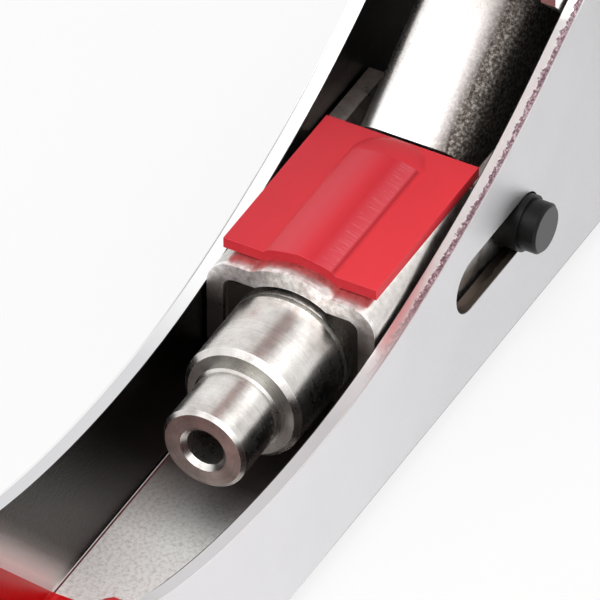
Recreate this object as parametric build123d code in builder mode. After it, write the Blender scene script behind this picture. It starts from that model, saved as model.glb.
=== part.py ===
from build123d import *
import math
import os

# In-line snap setter pliers: a ram slides along an open channel frame and is
# pushed by a toggle link from a squeezed handle.
# Axes: +X is the way the ram works, +Y is across the channel, +Z is the open
# side. The origin is the ram axis at the mouth of the die bore, at rest.

SHEET = 1.6            # frame and handle sheet
CH_IN = 18.8           # channel inside width
CH_OUT = CH_IN + 2 * SHEET
WEB_IN = -11.8         # web, inside face
WEB_OUT = WEB_IN - SHEET
BEND_R = 2.0           # outside bend radius
STROKE = 10.5          # ram travel

CROSS_X = -44.0        # cross pin at rest, on the ram axis
CROSS_R = 2.6
LINK_L = 27.0          # toggle link, pin to pin
LINK_A = 33.0          # its slope at rest, degrees
ARM_A = 50.0           # slope of the handle's short arm at rest
HANDLE_A = 46.0        # slope of the handle at rest
LINK_SIN = LINK_L * math.sin(math.radians(LINK_A))
ARM_L = LINK_SIN / math.sin(math.radians(ARM_A))
ELBOW_X = CROSS_X - LINK_L * math.cos(math.radians(LINK_A))
ELBOW_Z = LINK_SIN
PIVOT_X = ELBOW_X - ARM_L * math.cos(math.radians(ARM_A))

PIVOT_R = 3.0
ELBOW_R = 2.5
SIDE_GAP = 0.2         # play between handle and channel, each side
LEVER_W = CH_IN - 2 * SIDE_GAP
LEVER_IN = LEVER_W / 2 - SHEET
LEVER_END = 160.0      # handle, pivot to end
RAM_GAP = 0.3          # play between ram saddle and channel, each side
SADDLE_W = CH_IN - 2 * RAM_GAP
SADDLE_T = 1.8
SADDLE_TOP = 7.4
ARCH_R = 8.6           # embossed arch of the saddle, outside
SPACER_T = 1.5         # spacers between handle and link
SPACER_GAP = 0.1
LINK_W = 2 * (LEVER_IN - SPACER_T - SPACER_GAP)
LINK_T = 1.4
LINK_TOP = 8.1         # link's back above its pin line
LINK_EARS = 18.2       # where the back ends and the two ears go on to the elbow
SLOT_W = 6.0

HOLDER_R1 = 6.35       # die holder body
HOLDER_R2 = 4.5        # die holder tip
TIP_L = 7.5
BORE_R = 2.0
BORE_DEEP = 12.0

PAD_X0, PAD_X1 = -18.4, -40.0
PAD_W = 16.6
PAD_T = 1.3

ANVIL_X0, ANVIL_X1 = 36.0, 50.0
RIVET_X, RIVET_Z, RIVET_R = (ANVIL_X0 + 5.0, ANVIL_X0 + 10.5), -8.0, 2.0
SEAT_T = 2.5           # anvil die seat's flange
FRAME_END = 103.0
COAT_OUT = 1.0         # dipped grip, outside and inside thickness
COAT_IN = 0.6

os.makedirs("parts", exist_ok=True)


def save(part, name):
    part.label = name
    export_step(part, "parts/" + name + ".step")


def local(v):
    return Pos(PIVOT_X, 0, 0) * Rot(0, -HANDLE_A, 0) * v


def cyl_y(x, z, r, y0, y1):
    """A round bar along Y."""
    return Pos(x, (y0 + y1) / 2, z) * Rot(90, 0, 0) * Cylinder(
        r, abs(y1 - y0), mode=Mode.PRIVATE)


def block(x0, x1, y0, y1, z0, z1):
    return Pos((x0 + x1) / 2, (y0 + y1) / 2, (z0 + z1) / 2) * Box(
        x1 - x0, y1 - y0, z1 - z0, mode=Mode.PRIVATE)


def cyl_x(r, x0, x1, z=0.0):
    """A round bar along X, on the ram axis."""
    return Pos((x0 + x1) / 2, 0, z) * Rot(0, 90, 0) * Cylinder(
        r, abs(x1 - x0), mode=Mode.PRIVATE)


# ---------------------------------------------------------------- frame
EAR_R = 13.4
top_pts = [(-70.0, 23.0), (-62.0, 21.2), (-56.0, 18.4), (-48.0, 14.0),
           (-40.0, 10.2), (-30.0, 6.8), (-18.4, 4.0), (-9.4, 2.8), (0.0, 2.6),
           (12.0, 3.6), (24.5, 6.3), (33.0, 9.8), (39.0, 12.2)]


def frame_side(grow):
    """The side outline of the frame, optionally grown by the coat."""
    g = grow
    with BuildSketch(Plane.XZ) as s:
        with BuildLine():
            a = Line((PIVOT_X, WEB_OUT - g), (FRAME_END - 4 + g, WEB_OUT - g))
            b = RadiusArc(a @ 1, (FRAME_END + g, WEB_OUT + 4 - g), -4)
            c = Line(b @ 1, (FRAME_END + g, -7.2 + g))
            d = RadiusArc(c @ 1, (FRAME_END - 4 + g, -3.2 + g), -4)
            e = Line(d @ 1, (66.0, -3.2 + g))
            f = Spline(e @ 1, (59.0, -1.5 + g), (52.5, 5.0 + g), (46.5, 11.0 + g),
                       (39.0, 12.2 + g), tangents=((-1, 0), (-1, 0)))
            pts = [(x, z + g) for x, z in reversed(top_pts[:-1])]
            h = Spline(f @ 1, *pts, tangents=((-1, 0), (-1, 0.12)))
            k = Spline(h @ 1, (PIVOT_X - 2.0, 20.5), (PIVOT_X - 10.5, 12.0),
                       (PIVOT_X - EAR_R, 0), tangents=((-1, 0.12), (0, -1)))
            ThreePointArc(k @ 1, (PIVOT_X - EAR_R * 0.7071, -EAR_R * 0.7071),
                          (PIVOT_X, WEB_OUT - g))
        make_face()
    return s.sketch


def u_bar(half_out, half_in, z_out, z_in, r_out, r_in):
    """A long bent-sheet channel along X, open at the top."""
    with BuildPart() as u:
        with BuildSketch(Plane.YZ.offset(-150)):
            with BuildLine():
                a = Line((-half_out, 40), (-half_out, z_out + r_out))
                b = RadiusArc(a @ 1, (-half_out + r_out, z_out), -r_out)
                c = Line(b @ 1, (half_out - r_out, z_out))
                d = RadiusArc(c @ 1, (half_out, z_out + r_out), -r_out)
                e = Line(d @ 1, (half_out, 40))
                Line(e @ 1, a @ 0)
            make_face()
            with BuildLine():
                a = Line((-half_in, 50), (-half_in, z_in + r_in))
                b = RadiusArc(a @ 1, (-half_in + r_in, z_in), -r_in)
                c = Line(b @ 1, (half_in - r_in, z_in))
                d = RadiusArc(c @ 1, (half_in, z_in + r_in), -r_in)
                e = Line(d @ 1, (half_in, 50))
                Line(e @ 1, a @ 0)
            make_face(mode=Mode.SUBTRACT)
        extrude(amount=300)
    return u.part


def hat_bar(half_out, half_in, z_out, z_in, r_out, r_in):
    """The same channel, open at the bottom."""
    return Rot(180, 0, 0) * u_bar(half_out, half_in, -z_out, -z_in, r_out, r_in)


with BuildPart() as frame:
    add(extrude(frame_side(0.0), amount=CH_OUT, both=True))
    add(u_bar(CH_OUT / 2, CH_IN / 2, WEB_OUT, WEB_IN, BEND_R, 0.4), mode=Mode.INTERSECT)
    # pin slots, one in each wall
    with BuildSketch(Plane.XZ):
        with Locations((CROSS_X + STROKE / 2, 0)):
            SlotCenterToCenter(STROKE + 0.2, SLOT_W)
    extrude(amount=20, both=True, mode=Mode.SUBTRACT)
    with BuildSketch(Plane.XZ):
        with Locations((PIVOT_X, 0)):
            Circle(PIVOT_R)
        with Locations(*[(x, RIVET_Z) for x in RIVET_X]):
            Circle(RIVET_R)
    extrude(amount=20, both=True, mode=Mode.SUBTRACT)
save(frame.part, "frame_channel")

# ---------------------------------------------------------------- anvil
with BuildPart() as anvil:
    with Locations(((ANVIL_X0 + ANVIL_X1) / 2, 0, (WEB_IN + 7.4) / 2)):
        Box(ANVIL_X1 - ANVIL_X0, CH_IN, 7.4 - WEB_IN)
    chamfer(anvil.edges().filter_by(Axis.Y).group_by(Axis.Z)[-1], 1.5)
    chamfer(anvil.edges().filter_by(Axis.X).group_by(Axis.Z)[0], 0.5)
    add(cyl_x(4.5, ANVIL_X0 - 1, ANVIL_X0 + 8.0), mode=Mode.SUBTRACT)
    for x in RIVET_X:
        add(cyl_y(x, RIVET_Z, RIVET_R, -CH_OUT, CH_OUT), mode=Mode.SUBTRACT)
save(anvil.part, "anvil_block")

with BuildPart() as rivets:
    for x in RIVET_X:
        add(cyl_y(x, RIVET_Z, RIVET_R, -CH_OUT / 2, CH_OUT / 2))
save(rivets.part, "anvil_rivets")

with BuildPart() as seat:
    add(cyl_x(HOLDER_R1, ANVIL_X0 - SEAT_T, ANVIL_X0))
    add(cyl_x(4.5, ANVIL_X0, ANVIL_X0 + 8.0))
    rim = seat.edges().filter_by(GeomType.CIRCLE).group_by(Axis.X)[0]
    chamfer(rim, 0.5)
    add(cyl_x(BORE_R, ANVIL_X0 - SEAT_T, ANVIL_X0 - SEAT_T + 8.0), mode=Mode.SUBTRACT)
    mouth = seat.edges().filter_by(GeomType.CIRCLE).filter_by(
        lambda q: abs(q.center().X - ANVIL_X0 + SEAT_T) < 0.01).sort_by(SortBy.RADIUS)[0]
    chamfer(mouth, 0.5)
save(seat.part, "anvil_die_seat")

# ------------------------------------------------- dipped grip on the frame
# It covers the frame, outside and inside, beyond a slanted dip line.
with BuildPart() as grip:
    add(extrude(frame_side(COAT_OUT), amount=CH_OUT, both=True))
    add(u_bar(CH_OUT / 2 + COAT_OUT, CH_IN / 2 - COAT_IN, WEB_OUT - COAT_OUT,
              WEB_IN + COAT_IN, BEND_R + COAT_OUT, 0.8), mode=Mode.INTERSECT)
    with Locations(((ANVIL_X0 + ANVIL_X1) / 2, 0, WEB_IN + 9.6)):
        Box(ANVIL_X1 - ANVIL_X0, CH_IN, 19.2, mode=Mode.SUBTRACT)
    with BuildSketch(Plane.XZ):
        with BuildLine():
            Polyline((11.1, -13.4 - 3), (11.1 + 0.9, WEB_IN - 1), (24.2, 0.3), (29.3, 6.0),
                     (36.0, 14.5), (36.0, 60), (-150, 60), (-150, -60), (11.1, -60),
                     close=True)
        make_face()
    extrude(amount=40, both=True, mode=Mode.SUBTRACT)
    add(frame.part, mode=Mode.SUBTRACT)
    add(rivets.part, mode=Mode.SUBTRACT)
save(grip.part, "fixed_grip")

# ---------------------------------------------------------------- pivot
with BuildPart() as pivot:
    add(cyl_y(PIVOT_X, 0, PIVOT_R, -CH_OUT / 2 - 2.2, CH_OUT / 2))
    add(cyl_y(PIVOT_X, 0, PIVOT_R + 2.2, CH_OUT / 2, CH_OUT / 2 + 2.2))
    rim = pivot.edges().filter_by(GeomType.CIRCLE).group_by(Axis.Y)[-1]
    fillet(rim, 1.4)
    tip = pivot.edges().filter_by(GeomType.CIRCLE).group_by(Axis.Y)[0]
    chamfer(tip, 0.4)
    with BuildSketch(Plane.XZ.offset(CH_OUT / 2 + 0.1)):
        with Locations((PIVOT_X, 0)):
            Circle(6)
            Circle(2.4, mode=Mode.SUBTRACT)
    extrude(amount=0.8, mode=Mode.SUBTRACT)
save(pivot.part, "pivot_pin")

with BuildPart() as clip:
    with BuildSketch(Plane.XZ.offset(CH_OUT / 2 + 0.1)):
        with Locations((PIVOT_X, 0)):
            Circle(5.0)
            Circle(2.4, mode=Mode.SUBTRACT)
            with Locations((0, -4)):
                Rectangle(3.4, 6, mode=Mode.SUBTRACT)
    extrude(amount=0.8)
save(clip.part, "pivot_clip")

# ---------------------------------------------------------------- handle
P1S = ARM_L * math.cos(math.radians(ARM_A - HANDLE_A))
P1T = ARM_L * math.sin(math.radians(ARM_A - HANDLE_A))
LEVER_TOP = 8.6

with BuildPart() as lever_l:
    with BuildSketch(Plane.XZ):
        with BuildLine():
            p = Polyline((3.0, -6.6), (12.0, -5.4), (31.0, -5.0), (39.0, 2.6),
                         (LEVER_END - 5, 2.6))
            q = RadiusArc(p @ 1, (LEVER_END, 6.0), -5)
            r = Line(q @ 1, (LEVER_END, LEVER_TOP))
            s = Line(r @ 1, (4.0, LEVER_TOP))
            t = Spline(s @ 1, (-4.0, 5.745), (-7.0, 0), tangents=((-1, 0), (0, -1)))
            ThreePointArc(t @ 1, (-4.0, -5.745), (3.0, -6.6))
        make_face()
    extrude(amount=LEVER_W, both=True)
    add(Pos(60, 0, 0) * hat_bar(LEVER_W / 2, LEVER_W / 2 - SHEET, LEVER_TOP,
                                LEVER_TOP - SHEET, 2.4, 0.8), mode=Mode.INTERSECT)
    add(block(-34, 6, -LEVER_IN, LEVER_IN, -20, 20), mode=Mode.SUBTRACT)
    with BuildSketch(Plane.XZ):
        with Locations((0, 0)):
            Circle(PIVOT_R + 0.05)
        with Locations((P1S, P1T)):
            Circle(ELBOW_R)
    extrude(amount=20, both=True, mode=Mode.SUBTRACT)
lever = local(lever_l.part)
save(lever, "handle_lever")

with BuildPart() as bush:
    add(cyl_y(PIVOT_X, 0, PIVOT_R + 1.4, -LEVER_IN, LEVER_IN))
    add(cyl_y(PIVOT_X, 0, PIVOT_R + 0.05, -CH_IN, CH_IN), mode=Mode.SUBTRACT)
save(bush.part, "pivot_bush")

with BuildPart() as elbow:
    add(cyl_y(ELBOW_X, ELBOW_Z, ELBOW_R, -LEVER_W / 2, LEVER_W / 2))
save(elbow.part, "elbow_pin")

with BuildPart() as espace:
    a = LINK_W / 2 + SPACER_GAP
    for side in (a, -a - SPACER_T):
        add(cyl_y(ELBOW_X, ELBOW_Z, ELBOW_R + 1.5, side, side + SPACER_T))
    add(cyl_y(ELBOW_X, ELBOW_Z, ELBOW_R, -CH_IN, CH_IN), mode=Mode.SUBTRACT)
save(espace.part, "elbow_spacers")

with BuildPart() as mgrip_l:
    zc = (2.6 + LEVER_TOP) / 2
    with Locations(((72.0 + LEVER_END + 2) / 2, 0, zc)):
        Box(LEVER_END + 2 - 72.0, LEVER_W + 2.8, LEVER_TOP - 2.6 + 3.2)
    fillet(mgrip_l.edges().filter_by(Axis.X), 3.2)
    ends = mgrip_l.faces().sort_by(Axis.X)[-1].edges()
    fillet(ends, 1.4)
    add(block(0, LEVER_END, -LEVER_W / 2, LEVER_W / 2, 2.6, LEVER_TOP),
        mode=Mode.SUBTRACT)
save(local(mgrip_l.part), "moving_grip")

# ---------------------------------------------------------------- link
LINK_HOLE_S, LINK_HOLE_T = 1.25, -0.80   # how far the pin drifts in its slot
with BuildPart() as link_l:
    with BuildSketch(Plane.XZ):
        with BuildLine():
            a = Line((2.0, LINK_TOP), (LINK_EARS, LINK_TOP))
            b = Polyline(a @ 1, (LINK_L - 3.0, 6.2), (LINK_L - 1.5, 3.923))
            c = ThreePointArc(b @ 1, (LINK_L + 4.2, 0), (LINK_L - 1.0, -4.079))
            d = Polyline(c @ 1, (LINK_L - 6.0, -2.6), (6.0, -2.9), (1.2, -4.3))
            e = ThreePointArc(d @ 1, (-4.3, 0), (1.2, 4.3))
            Line(e @ 1, (2.0, LINK_TOP))
        make_face()
    extrude(amount=LINK_W, both=True)
    add(hat_bar(LINK_W / 2, LINK_W / 2 - LINK_T, LINK_TOP, LINK_TOP - LINK_T,
                2.6, 1.2), mode=Mode.INTERSECT)
    with BuildSketch(Plane.XZ):
        with Locations((LINK_L, 0)):
            Circle(ELBOW_R + 0.05)
        with Locations(Pos(LINK_HOLE_S / 2, LINK_HOLE_T / 2) * Rot(
                0, 0, math.degrees(math.atan2(LINK_HOLE_T, LINK_HOLE_S)))):
            SlotCenterToCenter(math.hypot(LINK_HOLE_S, LINK_HOLE_T), 2 * CROSS_R + 0.6)
    extrude(amount=20, both=True, mode=Mode.SUBTRACT)
link = Pos(CROSS_X, 0, 0) * Rot(0, LINK_A - 180, 0) * Rot(180, 0, 0) * link_l.part
save(link, "toggle_link")

# ---------------------------------------------------------------- ram
SF = PAD_X0 + 1.0      # saddle's front edge
SR = -49.5             # its rear end
EAR_X, EAR_TOP = -52.3, 6.9   # its two ears beside the link
with BuildPart() as saddle:
    with BuildSketch(Plane.XZ):
        with BuildLine():
            Polyline((SF, SADDLE_TOP), (SF, -3.0), (SF - 5.0, -8.0), (SR + 3, -8.0),
                     (SR, -4.5), (SR, 4.0), (PAD_X1 - 0.3, 4.0),
                     (PAD_X1 - 0.3, SADDLE_TOP), close=True)
        make_face()
    extrude(amount=SADDLE_W, both=True)
    w, z = SADDLE_W / 2 - SADDLE_T, SADDLE_TOP - SADDLE_T
    add(hat_bar(SADDLE_W / 2, w, SADDLE_TOP, z, 3.0, 1.2), mode=Mode.INTERSECT)
    add(cyl_x(ARCH_R, PAD_X1 + 2.6, SF) & block(-60, 0, -6, 6, z, 20))
    add(cyl_x(ARCH_R - SADDLE_T, -37.8, 0), mode=Mode.SUBTRACT)
    # two upright ears, open above the link, behind the pad
    with BuildSketch(Plane.XZ):
        with BuildLine():
            Polyline((PAD_X1 + 1.0, EAR_TOP), (EAR_X + 2.2, EAR_TOP), (EAR_X, EAR_TOP - 3.2),
                     (EAR_X, -2.0), (EAR_X + 3.4, -5.0), (PAD_X1 + 1.0, -5.0), close=True)
        make_face()
    extrude(amount=SADDLE_W / 2, both=True)
    add(block(-70, PAD_X1 + 1.0, -w, w, -9, z), mode=Mode.SUBTRACT)
    add(block(-70, PAD_X1 - 0.3, -w, w, -9, 22), mode=Mode.SUBTRACT)
    add(cyl_y(CROSS_X, 0, CROSS_R, -20, 20), mode=Mode.SUBTRACT)
    add(cyl_y(-30, 0, 2.0, -20, 20), mode=Mode.SUBTRACT)
save(saddle.part, "ram_saddle")

with BuildPart() as holder:
    with BuildSketch(Plane.XZ):
        with BuildLine():
            Polyline((0, 0), (0, 4.1), (-0.4, HOLDER_R2), (-TIP_L + 0.9, HOLDER_R2),
                     (-TIP_L + 0.7, 4.75), (-TIP_L, 4.75), (-TIP_L, 5.75),
                     (-TIP_L - 0.6, HOLDER_R1), (-16.4, HOLDER_R1), (-16.4, 6.0),
                     (-16.9, 6.0), (-16.9, HOLDER_R1), (-24.0, HOLDER_R1), (-24.0, 0),
                     close=True)
        make_face()
    revolve(axis=Axis.X)
    # square shank, fills the saddle up to just behind its front edge
    add(block(-36, SF - 1.0, -w, w, -6.2, z - 1.2))
    add(block(-36, SF - 1.0, -w + 1.2, w - 1.2, -6.2, z))
    add(cyl_x(BORE_R, -BORE_DEEP, 1), mode=Mode.SUBTRACT)
    mouth = holder.edges().filter_by(GeomType.CIRCLE).filter_by(
        lambda q: abs(q.center().X) < 0.01).sort_by(SortBy.RADIUS)[0]
    chamfer(mouth, 0.5)
    add(cyl_y(-30, 0, 2.0, -20, 20), mode=Mode.SUBTRACT)
save(holder.part, "die_holder")

with BuildPart() as hrivet:
    add(cyl_y(-30, 0, 2.0, -SADDLE_W / 2, SADDLE_W / 2))
save(hrivet.part, "holder_rivet")

with BuildPart() as pad:
    with Locations(((PAD_X0 + PAD_X1) / 2, 0, SADDLE_TOP + PAD_T / 2)):
        Box(PAD_X0 - PAD_X1, PAD_W, PAD_T)
    rib_h, rib_w = 1.1, 7.4
    rr = ((rib_w / 2) ** 2 + rib_h ** 2) / (2 * rib_h)
    zc = SADDLE_TOP + PAD_T + rib_h - rr
    rib = cyl_x(rr, PAD_X0, PAD_X1 + 3.6, zc)
    add(rib & block(-60, 0, -6, 6, SADDLE_TOP, 30))
    add(cyl_x(ARCH_R, 0, PAD_X1 + 2.6), mode=Mode.SUBTRACT)
save(pad.part, "ram_pad")

with BuildPart() as cross:
    add(cyl_y(CROSS_X, 0, CROSS_R, -CH_OUT / 2 - 2.6, CH_OUT / 2 + 2.6))
    rims = cross.edges().filter_by(GeomType.CIRCLE)
    chamfer(rims, 0.3)
save(cross.part, "cross_pin")

with BuildPart() as sbush:
    a, b = SADDLE_W / 2 + 0.1, CH_OUT / 2 + 0.7
    for p, q in ((a, b), (-b, -a)):
        add(cyl_y(CROSS_X, 0, SLOT_W / 2 - 0.1, p, q))
    add(cyl_y(CROSS_X, 0, CROSS_R, -20, 20), mode=Mode.SUBTRACT)
save(sbush.part, "slot_bushes")

with BuildPart() as lspace:
    a, b = LINK_W / 2 + SPACER_GAP, SADDLE_W / 2 - SADDLE_T
    for p, q in ((a, b), (-b, -a)):
        add(cyl_y(CROSS_X, 0, 4.2, p, q))
    add(cyl_y(CROSS_X, 0, CROSS_R, -20, 20), mode=Mode.SUBTRACT)
save(lspace.part, "link_spacers")

# ---------------------------------------------------------------- spring
COIL_R, WIRE_R = 5.4, 0.6
TH0, TH1 = 45.0, 360 * 4 - 33.0
Y0, Y1 = -4.2, 2.2
pts = []
c, s = math.cos(math.radians(TH0)), math.sin(math.radians(TH0))
for d in (21.0, 14.0, 7.0):
    pts.append((PIVOT_X + COIL_R * c + d * s, Y0, COIL_R * s - d * c))
n = 66
for i in range(n + 1):
    th = math.radians(TH0 + (TH1 - TH0) * i / n)
    pts.append((PIVOT_X + COIL_R * math.cos(th), Y0 + (Y1 - Y0) * i / n,
                COIL_R * math.sin(th)))
c, s = math.cos(math.radians(TH1)), math.sin(math.radians(TH1))
for d in (6.0, 12.0, 18.5):
    pts.append((PIVOT_X + COIL_R * c - d * s, Y1, COIL_R * s + d * c))
with BuildPart() as spring:
    with BuildLine() as wire:
        Spline(*pts)
    with BuildSketch(Plane(origin=wire.line @ 0, z_dir=wire.line % 0)):
        Circle(WIRE_R)
    sweep(path=wire.line)
save(spring.part, "return_spring")
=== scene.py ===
# %% [markdown]
# # Dressing the snap setter pliers
# The metalwork of this tool comes from the CAD source, as one body per moving group. Here each
# part gets the surface it has on the real tool. The pad, the handle's grip and the spring are
# modelled again, because vinyl has soft rims and a spring has to twist. Everything is in metres,
# in the frame of the CAD model.

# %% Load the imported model
import math
import bmesh
import bpy
from mathutils import Matrix, Vector


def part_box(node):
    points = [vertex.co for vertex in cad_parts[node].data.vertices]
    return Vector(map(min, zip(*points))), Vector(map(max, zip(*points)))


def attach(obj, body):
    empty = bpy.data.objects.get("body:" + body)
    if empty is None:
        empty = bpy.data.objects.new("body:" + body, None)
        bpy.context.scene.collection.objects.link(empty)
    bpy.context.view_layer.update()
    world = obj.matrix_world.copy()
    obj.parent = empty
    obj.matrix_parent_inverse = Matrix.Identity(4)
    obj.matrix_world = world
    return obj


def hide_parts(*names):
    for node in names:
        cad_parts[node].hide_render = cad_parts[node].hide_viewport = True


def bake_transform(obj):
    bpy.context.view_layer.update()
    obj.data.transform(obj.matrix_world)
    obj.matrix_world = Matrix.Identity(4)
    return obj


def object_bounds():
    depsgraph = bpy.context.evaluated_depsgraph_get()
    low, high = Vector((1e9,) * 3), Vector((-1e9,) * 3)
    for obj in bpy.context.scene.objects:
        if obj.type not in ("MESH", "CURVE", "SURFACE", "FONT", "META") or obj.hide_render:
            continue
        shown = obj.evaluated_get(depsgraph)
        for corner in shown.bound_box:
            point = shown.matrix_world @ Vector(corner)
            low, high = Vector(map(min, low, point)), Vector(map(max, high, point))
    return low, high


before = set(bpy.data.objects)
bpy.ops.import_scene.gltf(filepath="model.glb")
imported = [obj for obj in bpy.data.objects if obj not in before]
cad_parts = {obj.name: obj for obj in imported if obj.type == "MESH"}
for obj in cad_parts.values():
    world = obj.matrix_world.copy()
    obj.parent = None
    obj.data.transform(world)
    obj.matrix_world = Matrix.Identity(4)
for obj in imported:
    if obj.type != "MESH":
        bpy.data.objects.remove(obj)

CAD_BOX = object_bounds()
bpy.ops.object.select_all(action="DESELECT")
print("CAD box in mm:", [[round(c * 1000, 1) for c in corner] for corner in CAD_BOX])


# %% [markdown]
# Lengths are written in millimetres, as on a drawing, and one number turns them into metres.
# Colours are written as sRGB hex values, as a paint chart gives them, and one function turns them
# to linear light.

# %% Units and colours
MM = 0.001


def mm(*values):
    return Vector([v * MM for v in values])


def colour(code):
    parts = [int(code[i:i + 2], 16) / 255 for i in (1, 3, 5)]
    return tuple(p / 12.92 if p < 0.04045 else ((p + 0.055) / 1.055) ** 2.4 for p in parts) + (1.0,)


print("middle grey in linear light:", round(colour("#808080")[0], 3))


# %% [markdown]
# Every material is a small sum: noise gives a level, a ramp turns the level into a colour, and
# masks on the coordinates say where each colour goes. One function adds a node, and the short ones
# after it name the few kinds of node that come back all the time.

# %% Functions that add nodes
def add(mat, kind, inputs=None, stops=(), **settings):
    """Adds one node. An input is a value, or another node's output to link to it."""
    node = mat.node_tree.nodes.new("ShaderNode" + kind)
    for key, value in settings.items():
        setattr(node, key, value)
    for key, value in (inputs or {}).items():
        if isinstance(value, bpy.types.NodeSocket):
            mat.node_tree.links.new(value, node.inputs[key])
        else:
            node.inputs[key].default_value = value
    if stops:
        elements = node.color_ramp.elements
        while len(elements) < len(stops):
            elements.new(0.5)
        for element, (place, code) in zip(elements, stops):
            element.position = place
            element.color = colour(code)
    return node


def calc(mat, operation, *values):
    """One sum of numbers."""
    return add(mat, "Math", dict(enumerate(values)), operation=operation).outputs[0]


def span(mat, value, low, high, to=(0.0, 1.0)):
    """How far a value has come from low to high, as 0 to 1 or as another range."""
    return add(mat, "MapRange", {"Value": value, "From Min": low, "From Max": high,
                                 "To Min": to[0], "To Max": to[1]}).outputs[0]


def weigh(mat, factor, low, high):
    """A number between two others."""
    return add(mat, "Mix", {"Factor": factor, "A": low, "B": high}).outputs[0]


def mix(mat, factor, low, high):
    """A colour between two others, each a hex value or another node's output."""
    low, high = (colour(t) if isinstance(t, str) else t for t in (low, high))
    return add(mat, "Mix", {"Factor": factor, 6: low, 7: high}, data_type="RGBA").outputs[2]


def ramp(mat, level, *stops):
    """A colour that changes with a level. A stop is a place and a hex value."""
    return add(mat, "ValToRGB", {"Fac": level}, stops=stops).outputs["Color"]


def noise(mat, place, grain, detail, rough=0.5):
    """Cloudy noise, with grains of a size in mm."""
    return add(mat, "TexNoise", {"Vector": place, "Scale": 1 / (grain * MM), "Detail": detail,
                                 "Roughness": rough}).outputs["Fac"]


def axes(mat, vector):
    """The X, Y and Z of a vector."""
    return tuple(add(mat, "SeparateXYZ", {"Vector": vector}).outputs)


def surface(name, **constants):
    """A new material, its shader with the given sockets set, and its place on the object."""
    mat = bpy.data.materials.new(name)
    mat.use_nodes = True
    shader = mat.node_tree.nodes["Principled BSDF"]
    for key, value in constants.items():
        shader.inputs[key.replace("_", " ")].default_value = value
    return mat, shader, add(mat, "TexCoord").outputs["Object"]


def join(mat, output, socket):
    mat.node_tree.links.new(output, socket)


def coat_with(mat, shader, tone, relief, strength, depth, gloss=None):
    """Joins colour, relief and roughness to the shader. The relief's depth is in mm."""
    join(mat, tone, shader.inputs["Base Color"])
    if gloss:
        join(mat, gloss, shader.inputs["Roughness"])
    bump = add(mat, "Bump", {"Height": relief, "Strength": strength, "Distance": depth * MM})
    join(mat, bump.outputs[0], shader.inputs["Normal"])


# %% [markdown]
# A long lens far away gives the flat perspective of a product picture, where the channel's two
# walls run almost parallel. The camera looks down into the channel from the die's side, a little
# over one wall.

# %% Camera
LENS, SENSOR = 1202.0, 36
PLACE = mm(1253.88, 697.29, 1245.74)
BACK = Vector((0.66655, 0.36504, 0.64997)).normalized()
UP = BACK.cross(Vector((-0.47745, 0.87865, -0.00385)).normalized()).normalized()
RIGHT = UP.cross(BACK)
bpy.ops.object.camera_add(location=PLACE)
camera = bpy.context.object
camera.rotation_euler = Matrix((RIGHT, UP, BACK)).transposed().to_euler()
camera.data.lens = LENS
camera.data.sensor_width = SENSOR
camera.data.clip_start, camera.data.clip_end = 0.1, 20
bpy.context.scene.camera = camera
print("camera stands", round(camera.location.length, 2), "m from the die")


# %% [markdown]
# A small product is lit with large, near lamps, so that metal shows broad soft streaks instead of
# dots. The table is a plain pale sheet that catches the tool's shadow. Rays from the camera and
# rays off metal see the room as white and the table as mostly white, so its shadow is kept, but
# faint. All other rays see the true paper and a dimmer room.

# %% Light and room
ROOM_LIGHT = 0.38
LAMPS = (
    # name, place, aim, width and height, all in mm, and power in W
    ("overhead", (190, -215, 520), (0, 0, 0), (420, 420), 0.7),
    ("window", (-430, 285, 400), (-10, 0, 0), (140, 300), 0.14),
    ("fill", (520, 300, 420), (0, 0, 0), (500, 500), 1.0),
    ("over_channel", (150, 70, 480), (0, 0, -12), (300, 300), 1.35),
)
for name, place, aim, size, power in LAMPS:
    bpy.ops.object.light_add(type="AREA", location=mm(*place))
    light = bpy.context.object
    light.name = name
    light.rotation_euler = (mm(*place) - mm(*aim)).to_track_quat("Z", "Y").to_euler()
    light.data.shape = "RECTANGLE"
    light.data.size, light.data.size_y = size[0] * MM, size[1] * MM
    light.data.energy = power

world = bpy.data.worlds.new("studio")
bpy.context.scene.world = world
world.use_nodes = True
world.node_tree.nodes.clear()
rays = add(world, "LightPath").outputs
direct = calc(world, "MAXIMUM", rays["Is Camera Ray"], rays["Is Transmission Ray"])
sight = calc(world, "MAXIMUM", direct, rays["Is Glossy Ray"])
dim, white = (add(world, "Background", {"Color": colour("#FFFFFF"), "Strength": strength})
              for strength in (ROOM_LIGHT, 1.0))
room = add(world, "MixShader", {0: sight, 1: dim.outputs[0], 2: white.outputs[0]})
add(world, "OutputWorld", {"Surface": room.outputs[0]})
bpy.context.scene.view_settings.view_transform = "Standard"


# %% Table
TABLE_SIZE = 6              # metres
TABLE_GAP = 0.2             # mm below the tool
WHITE_SHARE = 0.78          # how much of the table is plain white to the camera
bpy.ops.mesh.primitive_plane_add(size=TABLE_SIZE, location=(0, 0, CAD_BOX[0][2] - TABLE_GAP * MM))
table = bpy.context.object
table.name = "table"
paper, shader, place = surface("white_table_paper", Roughness=0.9, Base_Color=colour("#F4F4F4"))
rays = add(paper, "LightPath").outputs
sight = calc(paper, "MAXIMUM", rays["Is Camera Ray"], rays["Is Glossy Ray"])
share = calc(paper, "MULTIPLY", sight, WHITE_SHARE)
glow = add(paper, "Emission", {"Color": colour("#FFFFFF"), "Strength": 1.0})
both = add(paper, "MixShader", {0: share, 1: shader.outputs[0], 2: glow.outputs[0]})
join(paper, both.outputs[0], paper.node_tree.nodes["Material Output"].inputs["Surface"])
table.data.materials.append(paper)
print("table lies at z =", round(table.location.z * 1000, 2), "mm")


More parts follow.
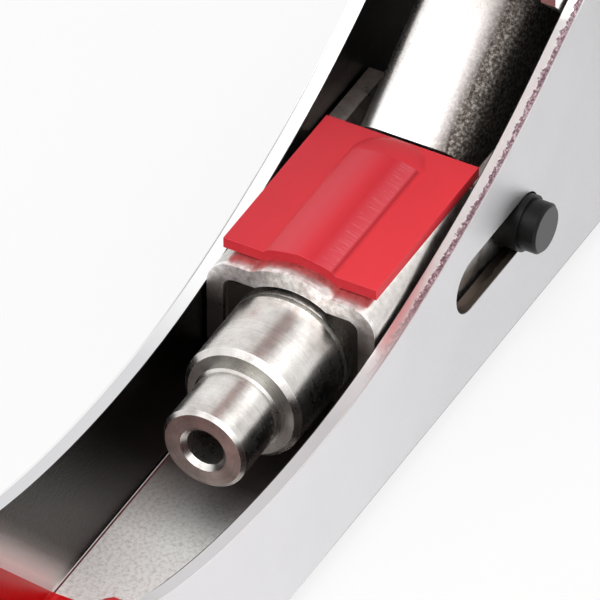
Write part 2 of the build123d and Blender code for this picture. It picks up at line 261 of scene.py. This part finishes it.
# %% [markdown]
# The frame is pressed from 1.6 mm steel sheet, bent into a channel and then nickel plated. The
# outside was polished before plating, so it is smooth and even. Inside, where no wheel reaches, the
# sheet keeps its orange-peel skin. The blanking tool left the cut edge burnished bright, apart from
# a narrow, uneven band on the wall at +Y, where the sheet tore and took a dull, slightly purple
# plating. Masks on Object coordinates tell these places apart.

# %% Plated sheet: where its faces are
# across the cut edge, as distances from Y = 0, and then as heights
WALL_IN, WALL_OUT, BURR = 9.48, 10.92, 10.83
CUT_ABOVE, WEB_BELOW, UNDER_BELOW = -11.2, -11.7, -12.6

plated, shader, place = surface("nickel_plated_sheet", Metallic=1.0)
x, y, z = axes(plated, place)
side = calc(plated, "ABSOLUTE", y)
past_inner = calc(plated, "GREATER_THAN", side, WALL_IN * MM)
past_outer = calc(plated, "GREATER_THAN", side, WALL_OUT * MM)
high = calc(plated, "GREATER_THAN", z, CUT_ABOVE * MM)
low = calc(plated, "LESS_THAN", z, UNDER_BELOW * MM)
web = calc(plated, "LESS_THAN", z, WEB_BELOW * MM)
in_wall = calc(plated, "SUBTRACT", past_inner, past_outer)
cut = calc(plated, "MULTIPLY", in_wall, high)
outside = calc(plated, "MAXIMUM", past_outer, low)
polished = calc(plated, "MAXIMUM", outside, cut)
print("plated sheet: masks for web, walls, cut edge and outside")

# %% Plated sheet: the inside
# the web's orange peel: specks of shade between bright crests; towards and under the die the web is
# darkened with painted shade
pit = noise(plated, place, 0.42, 5.0, 0.7)
web_peel = ramp(plated, pit, (0.32, "#D2CFCB"), (0.46, "#F1F0ED"), (0.56, "#FDFFFD"))
web_peel_and_shade = mix(plated, span(plated, x, -9 * MM, 2 * MM), "#5F5855", web_peel)
# the walls' inner faces get a painted shade, dark grey deep in the channel and rising to near white
# towards the open end, in place of the dark and bright reflections that fall there
slant = calc(plated, "MULTIPLY_ADD", z, -0.91, x)
wall_shade_span = span(plated, slant, 17.6 * MM, 22.5 * MM)
wall_painted_shade = ramp(plated, wall_shade_span, (0.0, "#3F3C3A"), (0.35, "#6F6A66"), (1.0, "#FFFDFA"))
inner_tone = mix(plated, web, wall_painted_shade, web_peel_and_shade)
# in the corner of the bend a painted highlight runs as one bright line, with a painted dark red
# reflection beside it
for middle, code in ((9.28, "#FFFFFF"), (9.1, "#6B3A3A")):
    painted_corner_line = calc(plated, "COMPARE", side, middle * MM, 0.09 * MM)
    inner_tone = mix(plated, calc(plated, "MULTIPLY", painted_corner_line, web), inner_tone, code)

# %% Plated sheet: the outside and the cut edge
patch = noise(plated, place, 9, 4.0, 0.62)
along = span(plated, x, -70 * MM, 20 * MM)
outer_tone = ramp(plated, weigh(plated, 0.3, along, patch), (0.15, "#D0CFD1"), (0.8, "#E6E5E7"))
# the torn band
tear = noise(plated, place, 0.3, 5.0, 0.75)
torn_tone = ramp(plated, tear, (0.36, "#543C45"), (0.52, "#8E737C"), (0.66, "#E2D8DB"))
teeth = noise(plated, place, 0.5, 3.0)
uneven = calc(plated, "MULTIPLY_ADD", teeth, -1.1 * MM, y)
torn = calc(plated, "MULTIPLY", span(plated, uneven, 9.72 * MM, 9.8 * MM),
            span(plated, x, -12 * MM, -24 * MM))
# a polishing wheel went over the edge from the head as far as the saddle, and a thin burr line is
# left on the outer corner
unwheeled = span(plated, x, -18 * MM, -6 * MM)
burnished = mix(plated, torn, mix(plated, unwheeled, "#FAFAFA", "#D8D8DA"), torn_tone)
burr = calc(plated, "GREATER_THAN", side, BURR * MM)
rim_tone = mix(plated, burr, burnished, mix(plated, unwheeled, "#A8A4A6", "#FFFFFF"))
# the slot was pierced and never polished, so its walls stay brown and dull
SLOT_MIDDLE, SLOT_HALF, SLOT_HIGH = -38.75, 8.6, 3.4
slot_high = calc(plated, "COMPARE", z, 0.0, SLOT_HIGH * MM)
slot_long = calc(plated, "COMPARE", x, SLOT_MIDDLE * MM, SLOT_HALF * MM)
cut_tone = mix(plated, calc(plated, "MULTIPLY", slot_high, slot_long), rim_tone, "#645A52")

# %% Plated sheet: the shader
body_tone = mix(plated, outside, inner_tone, outer_tone)
tone = mix(plated, cut, body_tone, cut_tone)
# inside, the rough skin under the plating scatters light like frost, which a lower metallic value
# gives
frost = weigh(plated, polished, calc(plated, "MAXIMUM", web, wall_shade_span), 0.0)
join(plated, span(plated, frost, 0.0, 1.0, to=(1.0, 0.15)), shader.inputs["Metallic"])
rough = weigh(plated, cut, weigh(plated, outside, 0.24, 0.36), weigh(plated, torn, 0.3, 0.5))
satin = span(plated, noise(plated, place, 0.55, 4.0, 0.7), 0.0, 1.0, to=(0.28, 0.72))
peel = weigh(plated, polished, pit, satin)
coat_with(plated, shader, tone, weigh(plated, torn, peel, tear), 0.6, 0.08, gloss=rough)


def dress(mat, *nodes):
    for name in nodes:
        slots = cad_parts[name].material_slots
        for one in slots:
            one.material = mat
        if not slots:
            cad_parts[name].data.materials.append(mat)
    print(mat.name, "->", ", ".join(nodes))


dress(plated, "frame_channel")


# %% [markdown]
# The die holder and the seat were turned on a lathe, which leaves fine rings round the barrel and
# circles on the faces, and then plated. Both come from one pattern that reads only the distance
# along the axis and the distance from it.

# %% Turned and plated steel
MOUTH_X = -17.9             # front edge of the saddle, where it opens round the shank


def turned(name, dark, mid, light, rough):
    mat, shader, place = surface(name, Metallic=1.0)
    x, y, z = axes(mat, place)
    flat = add(mat, "CombineXYZ", {"X": y, "Y": z}).outputs[0]
    out = add(mat, "VectorMath", {0: flat}, operation="LENGTH").outputs["Value"]
    rings = add(mat, "CombineXYZ", {"X": x, "Y": out}).outputs[0]
    fine = noise(mat, rings, 0.3, 3.0, 0.7)
    level = weigh(mat, 0.75, fine, noise(mat, place, 3.5, 5.0, 0.65))
    barrel = ramp(mat, level, (0.36, dark), (0.5, mid), (0.64, light))
    # the faces were parted off and not polished, so they are browner and duller than the barrel
    facing = calc(mat, "ABSOLUTE", axes(mat, add(mat, "TexCoord").outputs["Normal"])[0])
    face = calc(mat, "GREATER_THAN", facing, 0.97)
    dull = ramp(mat, level, (0.36, "#807F7A"), (0.64, "#B2B2AD"))
    # the square shank's face lies in the mouth of the saddle, and is darkened there with painted
    # shade
    mouth = calc(mat, "LESS_THAN", x, MOUTH_X * MM)
    tone = mix(mat, face, barrel, mix(mat, mouth, dull, "#4B4743"))
    gloss = span(mat, level, 0.0, 1.0, to=(rough - 0.08, rough + 0.1))
    coat_with(mat, shader, tone, fine, 0.07, 0.03, gloss=weigh(mat, face, gloss, 0.5))
    return mat


dress(turned("turned_nickel_plate", "#BDB8B4", "#DAD6D2", "#EBE8E4", 0.26), "die_holder")
dress(turned("turned_seat_steel", "#A29E9A", "#BFBBB7", "#D3CFCB", 0.3), "anvil_die_seat")


# %% [markdown]
# The saddle, the link and the handle are bent from thinner plated sheet. Bending stretches the
# skin, so it shows a fine grain, and rubbing parts leave it brighter on the proud spots.

# %% Pressed sheet parts
def pressed(name, dark, mid, light, rough, grain, peel, dull=None, rim=None):
    """Bent plated sheet. dull gives the Y range, in mm, over which a painted shade darkens it. rim
    is an
    X, in mm, past which the bare sheet edge is rough and creased, with a painted highlight along
    its top and a painted shade on the front below it."""
    mat, shader, place = surface(name, Metallic=1.0)
    fine = noise(mat, place, grain, 4.0, 0.65)
    level = weigh(mat, 0.5, fine, noise(mat, place, 6, 4.0, 0.6))
    tone = ramp(mat, level, (0.34, dark), (0.5, mid), (0.66, light))
    gloss = span(mat, level, 0.0, 1.0, to=(rough - 0.08, rough + 0.12))
    x, y, z = axes(mat, place)
    if dull:
        # painted shade: the flank turns dark grey with specks, where it would mirror the channel's
        # dark wall
        flank = span(mat, y, dull[0] * MM, dull[1] * MM)
        specks = ramp(mat, fine, (0.38, "#3A3532"), (0.52, "#615B56"), (0.64, "#938D88"))
        tone = mix(mat, flank, tone, specks)
        gloss = weigh(mat, flank, gloss, 0.55)
    if rim:
        front = calc(mat, "GREATER_THAN", x, rim * MM)
        # the front rim: a rough creased grain with a painted highlight along its top
        edge = calc(mat, "MULTIPLY", front, span(mat, z, 2 * MM, 6 * MM))
        creased_highlight = ramp(mat, fine, (0.36, "#CFC9C5"), (0.5, "#EFEAE7"), (0.6, "#FFFFFF"))
        tone = mix(mat, edge, tone, creased_highlight)
        gloss = weigh(mat, edge, gloss, 0.42)
        # painted shade on the front below the rim, darker towards the bottom
        tone = mix(mat, calc(mat, "SUBTRACT", front, edge), tone, "#736E6A")
    coat_with(mat, shader, tone, fine, peel, 0.05, gloss=gloss)
    return mat


saddle = pressed("pressed_nickel_saddle", "#B8B2AE", "#DAD5D0", "#F0ECE8", 0.28, 0.8, 0.5,
                 rim=MOUTH_X)
link = pressed("bright_nickel_link", "#D6D1CD", "#F0ECE9", "#FBF9F7", 0.26, 0.32, 0.35,
               dull=(1.6, 3.8))
lever = pressed("bright_nickel_handle", "#CFCCCA", "#DEDCDA", "#E8E6E5", 0.3, 0.9, 0.15)
block = pressed("milled_anvil_steel", "#7D7973", "#A19D96", "#BDB9B2", 0.36, 0.4, 0.3)
pins = pressed("bare_pin_steel", "#8A8680", "#AAA69F", "#C4C0B9", 0.3, 0.35, 0.2)
dress(saddle, "ram_saddle")
dress(link, "toggle_link")
dress(lever, "handle_lever")
dress(block, "anvil_block")
dress(pins, "pivot_pin", "elbow_pin", "pivot_bush", "elbow_spacers", "link_spacers", "anvil_rivets",
      "holder_rivet")


# %% [markdown]
# The cross pin, its bushes and the clip are blackened in hot salts. That skin is a thin dark oxide
# with a satin look, and it is slightly paler where the bar end was cut.

# %% Black oxide
PIN_END = 13.56             # the cross pin's cut ends lie past this distance from Y = 0
black, shader, place = surface("black_oxide_steel", Metallic=0.3, Roughness=0.4,
                               Specular_IOR_Level=0.3)
cloud = noise(black, place, 1.2, 5.0, 0.7)
shade = ramp(black, cloud, (0.35, "#060606"), (0.65, "#141414"))
side = calc(black, "ABSOLUTE", axes(black, place)[1])
tone = mix(black, calc(black, "GREATER_THAN", side, PIN_END * MM), shade, "#4C4C4E")
coat_with(black, shader, tone, cloud, 0.2, 0.03)
dress(black, "cross_pin", "slot_bushes", "pivot_clip")


# %% [markdown]
# Mesh tools work on what is selected. These helpers select by place, apply a modifier, and leave a
# finished piece with its object at the origin, unturned, so that patterns stay in step.

# %% Modelling helpers
def pick(mode, test):
    """In edit mode, selects only the points, edges or faces whose middle passes the test, in mm."""
    bpy.ops.mesh.select_mode(type=mode)
    bpy.ops.mesh.select_all(action="DESELECT")
    obj = bpy.context.edit_object
    mesh = bmesh.from_edit_mesh(obj.data)
    middles = {
        "VERT": lambda v: v.co,
        "EDGE": lambda e: (e.verts[0].co + e.verts[1].co) / 2,
        "FACE": lambda f: f.calc_center_median(),
    }
    group = {"VERT": mesh.verts, "EDGE": mesh.edges, "FACE": mesh.faces}[mode]
    found = 0
    for one in group:
        if test(*(obj.matrix_world @ middles[mode](one) / MM)):
            one.select = True
            found += 1
    mesh.select_flush_mode()
    bmesh.update_edit_mesh(obj.data)
    return found


def modify(obj, kind, **settings):
    modifier = obj.modifiers.new(kind.title(), kind)
    for key, value in settings.items():
        setattr(modifier, key, value)
    bpy.context.view_layer.objects.active = obj
    bpy.ops.object.modifier_apply(modifier=modifier.name)


def settle(obj, name, mat, body, angle):
    """Names, dresses and places a finished piece."""
    bpy.ops.object.select_all(action="DESELECT")
    obj.select_set(True)
    bpy.context.view_layer.objects.active = obj
    bpy.ops.object.transform_apply(location=True, rotation=True, scale=True)
    bpy.ops.object.mode_set(mode="EDIT")
    bpy.ops.mesh.select_all(action="SELECT")
    bpy.ops.mesh.remove_doubles(threshold=0.000005)
    bpy.ops.mesh.normals_make_consistent(inside=False)
    bpy.ops.object.mode_set(mode="OBJECT")
    bpy.ops.object.shade_smooth_by_angle(angle=math.radians(angle))
    obj.name = obj.data.name = name
    obj.data.materials.clear()
    obj.data.materials.append(mat)
    if body:
        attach(obj, body)
    bpy.ops.object.select_all(action="DESELECT")
    size = obj.dimensions / MM
    print(name, [round(s, 1) for s in size], "mm,", len(obj.data.polygons), "faces")


# %% [markdown]
# The pad is a piece of soft red vinyl, pushed over the ram's saddle. It is flat, and in the middle
# it is drawn up into a rib that follows the round shank below. It starts as a flat grid. Its middle
# line is pulled up with proportional editing, as one would pinch it by hand, and the sheet then
# gets its thickness.

# %% Red vinyl of the pad
RIB_HALF, RIB_BACK = 3.8, -36.4         # the rib's half width, and the X where it ends
pad_red, shader, place = surface("moulded_red_vinyl", Roughness=0.45, IOR=1.45,
                                 Specular_IOR_Level=0.25)
x, y, z = axes(pad_red, place)
cloud = noise(pad_red, place, 5, 3.0, 0.6)
# painted light: the pad is lighter towards +Y, with a cloudy tone over it
side_light_and_cloud = weigh(pad_red, 0.3, span(pad_red, y, -9 * MM, 9 * MM), cloud)
base = ramp(pad_red, side_light_and_cloud, (0.15, "#D63842"), (0.85, "#F03F48"))
# over the rib the vinyl is painted with light and shade: paler on the two flanks, deeper on the
# crest, and a thin dark line of painted shade where the rib ends
rib = ramp(pad_red, span(pad_red, y, -RIB_HALF * MM, RIB_HALF * MM),
           (0.0, "#DA3A44"), (0.07, "#DE4650"), (0.24, "#DF4D58"), (0.5, "#E23E48"),
           (0.66, "#DA343E"), (0.76, "#DC444F"), (0.93, "#E2525C"), (0.97, "#BE202B"),
           (1.0, "#DE3C46"))
drawn = calc(pad_red, "GREATER_THAN", x, RIB_BACK * MM)
on_rib = calc(pad_red, "MULTIPLY", drawn, calc(pad_red, "COMPARE", y, 0.0, RIB_HALF * MM))
# on the flank that was drawn furthest it turns pale in fine stripes across the bend
lines = add(pad_red, "Mapping", {"Vector": place, "Scale": (1.0, 0.12, 0.2)}).outputs[0]
fibre = noise(pad_red, lines, 0.28, 4.0, 0.7)
strip = calc(pad_red, "MULTIPLY", span(pad_red, y, 1.7 * MM, 2.2 * MM),
             calc(pad_red, "LESS_THAN", y, 3.35 * MM))
pale = calc(pad_red, "MULTIPLY", strip, span(pad_red, fibre, 0.5, 0.75))
tone = mix(pad_red, on_rib, base, mix(pad_red, pale, rib, "#E8757E"))
# the moulded edge: a painted highlight as a thin pale line where it is rounded, and a painted shade
# of deeper red on the upright face
facing = axes(pad_red, add(pad_red, "TexCoord").outputs["Normal"])[0]
tone = mix(pad_red, span(pad_red, facing, 0.2, 0.5), tone, "#F4707A")
tone = mix(pad_red, span(pad_red, facing, 0.8, 0.95), tone, "#C8222E")
coat_with(pad_red, shader, tone, noise(pad_red, place, 0.35, 3.0), 0.12, 0.03)

# %% Pad
PAD_SETBACK = 0.9           # the soft sheet ends this far behind the solid's front edge
PAD_THICK = 1.2
PAD_FLAT = 8.7              # height of its flat top
low, high = (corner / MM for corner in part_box("ram_pad"))
PAD_X0, PAD_X1, PAD_Y = low.x, high.x - PAD_SETBACK, high.y
RIB_TOP, RIB_END = high.z, low.x + 3.8
bpy.ops.mesh.primitive_grid_add(x_subdivisions=54, y_subdivisions=64, size=1,
                                location=mm((PAD_X0 + PAD_X1) / 2, 0, PAD_FLAT))
pad = bpy.context.object
pad.dimensions = mm(PAD_X1 - PAD_X0, 2 * PAD_Y, 0)
bpy.ops.object.transform_apply(location=False, rotation=False, scale=True)
bpy.ops.object.mode_set(mode="EDIT")
pinched = pick("VERT", lambda x, y, z: abs(y) < 0.5 and x > RIB_END)
bpy.ops.transform.translate(value=mm(0, 0, RIB_TOP - PAD_FLAT), use_proportional_edit=True,
                            proportional_edit_falloff="ROOT", proportional_size=3.6 * MM)
bpy.ops.object.mode_set(mode="OBJECT")
print("pinched", pinched, "points up by", round(RIB_TOP - PAD_FLAT, 2), "mm")
modify(pad, "SOLIDIFY", thickness=PAD_THICK * MM, offset=-1)
modify(pad, "BEVEL", width=0.18 * MM, segments=3, limit_method="ANGLE",
       angle_limit=math.radians(60))
settle(pad, "pad_on_saddle", pad_red, "ram", angle=35)
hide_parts("ram_pad")


# %% [markdown]
# Both handles are dipped in liquid vinyl, which cures into a thick, glossy red skin. It rounds
# every edge, and it ends in a soft rim where the tool was let into the bath at a slant. The
# frame's coat has its shape in the CAD source already. Its mesh is copied, the triangles on its
# flat faces are joined up again, and its edges are then rounded.

# %% Dipped red vinyl
dip, shader, place = surface("dipped_red_vinyl", Roughness=0.32, IOR=1.46, Coat_Weight=0.15,
                             Coat_Roughness=0.12)
cloud = noise(dip, place, 12, 3.0, 0.55)
tone = ramp(dip, cloud, (0.3, "#DA0810"), (0.7, "#E41018"))
coat_with(dip, shader, tone, noise(dip, place, 3.0, 2.0), 0.12, 0.15)

# %% Coat on the frame
bpy.ops.object.select_all(action="DESELECT")
coat = bpy.data.objects.new("coat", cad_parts["fixed_grip"].data.copy())
bpy.context.scene.collection.objects.link(coat)
bpy.context.view_layer.objects.active = coat
coat.select_set(True)
bpy.ops.object.mode_set(mode="EDIT")
bpy.ops.mesh.select_all(action="SELECT")
bpy.ops.mesh.remove_doubles(threshold=0.00001)
bpy.ops.mesh.dissolve_limited(angle_limit=math.radians(1.5))
bpy.ops.object.mode_set(mode="OBJECT")
modify(coat, "BEVEL", width=0.42 * MM, segments=3, limit_method="ANGLE",
       angle_limit=math.radians(38))
settle(coat, "dipped_coat_on_frame", dip, "frame", angle=50)
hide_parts("fixed_grip")


# %% [markdown]
# The moving handle's grip is a closed sleeve. A cube is stretched to size, its long edges are
# rounded, and it is cut into stations that are scaled in a little to give the hand a waist. Its
# front end gets a rim and a mouth, where the metal handle goes in.

# %% Sleeve on the handle
PIVOT = Vector((-78.9833, 0, 0))        # the handle's pivot
SLOPE = math.radians(46)                # its slope at rest
FRONT, END, HALF = 72.0, 162.0, 10.6    # along the handle from the pivot, and half its width
BOTTOM, TOP = 1.0, 10.2                 # across the handle
MIDDLE = (BOTTOM + TOP) / 2
STATIONS = (
    # distance from the pivot, and how wide and thick the sleeve is there
    (FRONT + 2.2, 1, 1), (84, 0.975, 0.97), (97, 0.94, 0.93), (112, 0.955, 0.94),
    (128, 0.985, 0.97), (144, 1, 1), (155, 1, 1),
)
bpy.ops.mesh.primitive_cube_add(size=1, location=mm((FRONT + END) / 2, 0, MIDDLE))
sleeve = bpy.context.object
sleeve.dimensions = mm(END - FRONT, 2 * HALF, TOP - BOTTOM)
bpy.ops.object.transform_apply(location=True, rotation=False, scale=True)
bpy.ops.object.mode_set(mode="EDIT")
pick("EDGE", lambda x, y, z: abs(x - (FRONT + END) / 2) < 1)
bpy.ops.mesh.bevel(offset=3.1 * MM, segments=6, affect="EDGES")
for station, wide, thick in STATIONS:
    bpy.ops.mesh.select_all(action="SELECT")
    bpy.ops.mesh.bisect(plane_co=mm(station, 0, 0), plane_no=(1, 0, 0))
    pick("VERT", lambda x, y, z: abs(x - station) < 0.05)
    bpy.ops.transform.resize(value=(1, wide, thick), center_override=mm(station, 0, MIDDLE))
pick("EDGE", lambda x, y, z: x > END - 0.05)
bpy.ops.mesh.bevel(offset=1.8 * MM, segments=4, affect="EDGES")
pick("FACE", lambda x, y, z: x < FRONT + 0.05)
bpy.ops.mesh.inset(thickness=1.25 * MM)
bpy.ops.mesh.extrude_region_move(TRANSFORM_OT_translate={"value": mm(1.0, 0, 0)})
bpy.ops.object.mode_set(mode="OBJECT")
modify(sleeve, "BEVEL", width=0.4 * MM, segments=3, limit_method="ANGLE",
       angle_limit=math.radians(50))
modify(sleeve, "SUBSURF", levels=1, render_levels=1)
sleeve.rotation_euler = (0, -SLOPE, 0)
sleeve.location = PIVOT * MM
settle(sleeve, "dipped_sleeve_on_handle", dip, "handle", angle=50)
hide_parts("moving_grip")


# %% [markdown]
# The return spring is a torsion coil round the pivot. One leg presses on the frame's web and the
# other on the elbow pin. A small circle is swept round the pivot by a Screw modifier, and each open
# end of the wire is then extruded along its leg. The turns share out the handle's rotation.

# %% Spring steel
wire, shader, place = surface("oiled_spring_steel", Metallic=1.0, Roughness=0.34)
cloud = noise(wire, place, 0.8, 4.0, 0.65)
tone = ramp(wire, cloud, (0.35, "#57534E"), (0.65, "#8B867F"))
coat_with(wire, shader, tone, cloud, 0.15, 0.03)

# %% Return spring
COIL, WIRE = 5.4, 0.6                   # radius of the turns and of the wire
FIRST, LAST = math.radians(45), math.radians(360 * 4 - 33)
Y0, Y1 = -4.2, 2.2
LEGS = (
    # angle and Y where the leg starts, its lengths, and the way it goes
    (FIRST, Y0, (7, 7, 7), -1),
    (LAST, Y1, (3.5, 3.5, 3.5), 1),
)
bpy.ops.mesh.primitive_circle_add(vertices=14, radius=WIRE * MM, location=(0, 0, 0))
spring = bpy.context.object
start = Vector((math.cos(FIRST), 0, math.sin(FIRST)))
across = start.cross((0, 1, 0))
spring.rotation_euler = Matrix((start, (0, 1, 0), across)).transposed().to_euler()
spring.location = (PIVOT + start * COIL + Vector((0, Y0, 0))) * MM
bpy.ops.object.transform_apply(location=True, rotation=True, scale=True)
axis = bpy.data.objects.new("axis", None)
bpy.context.scene.collection.objects.link(axis)
axis.location = PIVOT * MM
modify(spring, "SCREW", axis="Y", object=axis, angle=-(LAST - FIRST), screw_offset=(Y1 - Y0) * MM,
       iterations=1, steps=150, render_steps=150)
bpy.data.objects.remove(axis)
bpy.ops.object.mode_set(mode="EDIT")
for theta, y, lengths, way in LEGS:
    middle = PIVOT + Vector((math.cos(theta), 0, math.sin(theta))) * COIL + Vector((0, y, 0))
    along = Vector((-math.sin(theta), 0, math.cos(theta))) * way
    ring = pick("VERT", lambda x, y, z: (Vector((x, y, z)) - middle).length < WIRE * 1.02
                and abs((Vector((x, y, z)) - middle).dot(along)) < 0.06)
    print("open end with", ring, "points")
    for step in lengths:
        bpy.ops.mesh.extrude_region_move(TRANSFORM_OT_translate={"value": along * step * MM})
    bpy.ops.mesh.edge_face_add()
bpy.ops.object.mode_set(mode="OBJECT")
settle(spring, "return_coil", wire, None, angle=60)
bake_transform(spring)
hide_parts("return_spring")


# %% [markdown]
# The last step prints the CAD box.

print("CAD box", [[round(v * 1000, 1) for v in c] for c in CAD_BOX])
